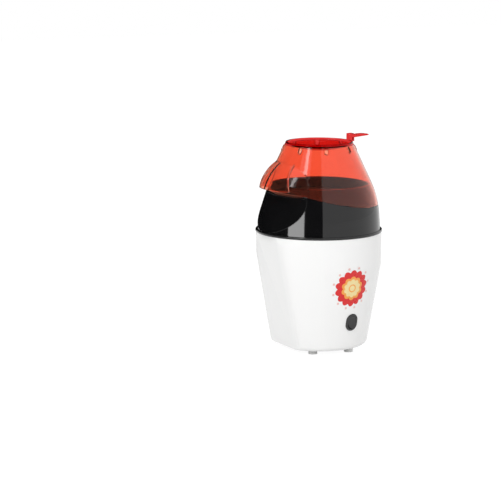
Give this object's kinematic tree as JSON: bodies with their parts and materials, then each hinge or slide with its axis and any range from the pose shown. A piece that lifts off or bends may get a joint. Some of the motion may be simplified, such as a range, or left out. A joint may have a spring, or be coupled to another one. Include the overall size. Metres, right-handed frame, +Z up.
{
  "type": "hot-air popcorn maker",
  "caption": "Round hot-air popcorn maker: tapered white body, glossy black collar with a slide, clear red hooded lid and a lift-off measuring cup.",
  "frame": {"origin": "on the floor, under the vertical axis of the body", "axes": "+Z up along the body's axis; the spout points to -X; the switch faces -Y"},
  "size_m": [0.1732, 0.1732, 0.294],
  "materials": {
    "white_plastic": "moulded white plastic with a soft gloss",
    "grey_plastic": "moulded grey plastic",
    "foot_rubber": "soft light-grey rubber",
    "steel": "zinc-plated steel",
    "black_gloss": "polished black plastic",
    "black_matte": "matt black plastic",
    "red_clear": "clear red plastic with polished faces",
    "red_clear_deep": "clear red plastic with polished faces",
    "chamber_metal": "drawn aluminium",
    "duct_steel": "galvanised sheet",
    "mica": "pressed mica board",
    "heater_wire": "oxidised resistance wire",
    "tan_ceramic": "unglazed ceramic",
    "fuse_sleeve": "ceramic sleeve",
    "grey_plastic_dark": "heat-proof dark plastic",
    "fan_aluminium": "pressed aluminium",
    "motor_steel": "nickel-plated steel",
    "magnet_black": "sintered ferrite",
    "bronze": "sintered bronze",
    "laminations": "stacked steel sheet",
    "copper": "lacquered copper",
    "carbon": "pressed carbon",
    "brass": "brass",
    "board_green": "glass-fibre board",
    "diode_black": "moulded epoxy",
    "switch_black": "black plastic with a soft gloss",
    "ivory_plastic": "moulded ivory plastic",
    "lead_red": "silicone sleeve"
  },
  "bodies": {
    "base": {"housing": "white_plastic", "base_plate": "grey_plastic", "feet": "foot_rubber", "base_screws": "steel", "collar": "black_gloss", "funnel": "black_matte", "popping_chamber": "chamber_metal", "air_duct": "duct_steel", "flange_screws": "steel", "mica_cross": "mica", "heater_coil": "heater_wire", "thermostat": "tan_ceramic", "thermal_fuse": "fuse_sleeve", "fuse_clip": "steel", "fan_case": "grey_plastic_dark", "leg_screws": "steel", "motor_case": "motor_steel", "motor_end_cap": "black_matte", "motor_magnets": "magnet_black", "motor_bearings": "bronze", "brushes": "carbon", "motor_terminals": "brass", "motor_screws": "steel", "rectifier_board": "board_green", "diodes": "diode_black", "switch_body": "switch_black", "switch_terminals": "brass", "cord_grommet": "black_matte", "terminal_block": "ivory_plastic", "block_screw": "steel", "inner_leads": "lead_red"},
    "lid_body": {"lid": "red_clear"},
    "cup_body": {"measuring_cup": "red_clear_deep"},
    "rocker_body": {"switch_rocker": "switch_black"},
    "rotor": {"fan_impeller": "fan_aluminium", "motor_shaft": "steel", "armature": "laminations", "windings": "copper", "commutator": "copper"}
  },
  "joints": [
    {"name": "lid_lift", "type": "slide", "parent": "base", "child": "lid_body", "axis": [0, 0, 1], "range_m": [0, 0.12]},
    {"name": "cup_lift", "type": "slide", "parent": "lid_body", "child": "cup_body", "axis": [0, 0, 1], "range_m": [0, 0.06]},
    {"name": "rocker_tilt", "type": "hinge", "parent": "base", "child": "rocker_body", "pos_m": [0.01116, -0.07047, 0.04684], "axis": [0.9877, 0.1564, 0], "range_deg": [0, 16]},
    {"name": "fan_spin", "type": "hinge", "parent": "base", "child": "rotor", "pos_m": [0, 0, 0.06], "axis": [0, 0, 1], "continuous": true}
  ]
}
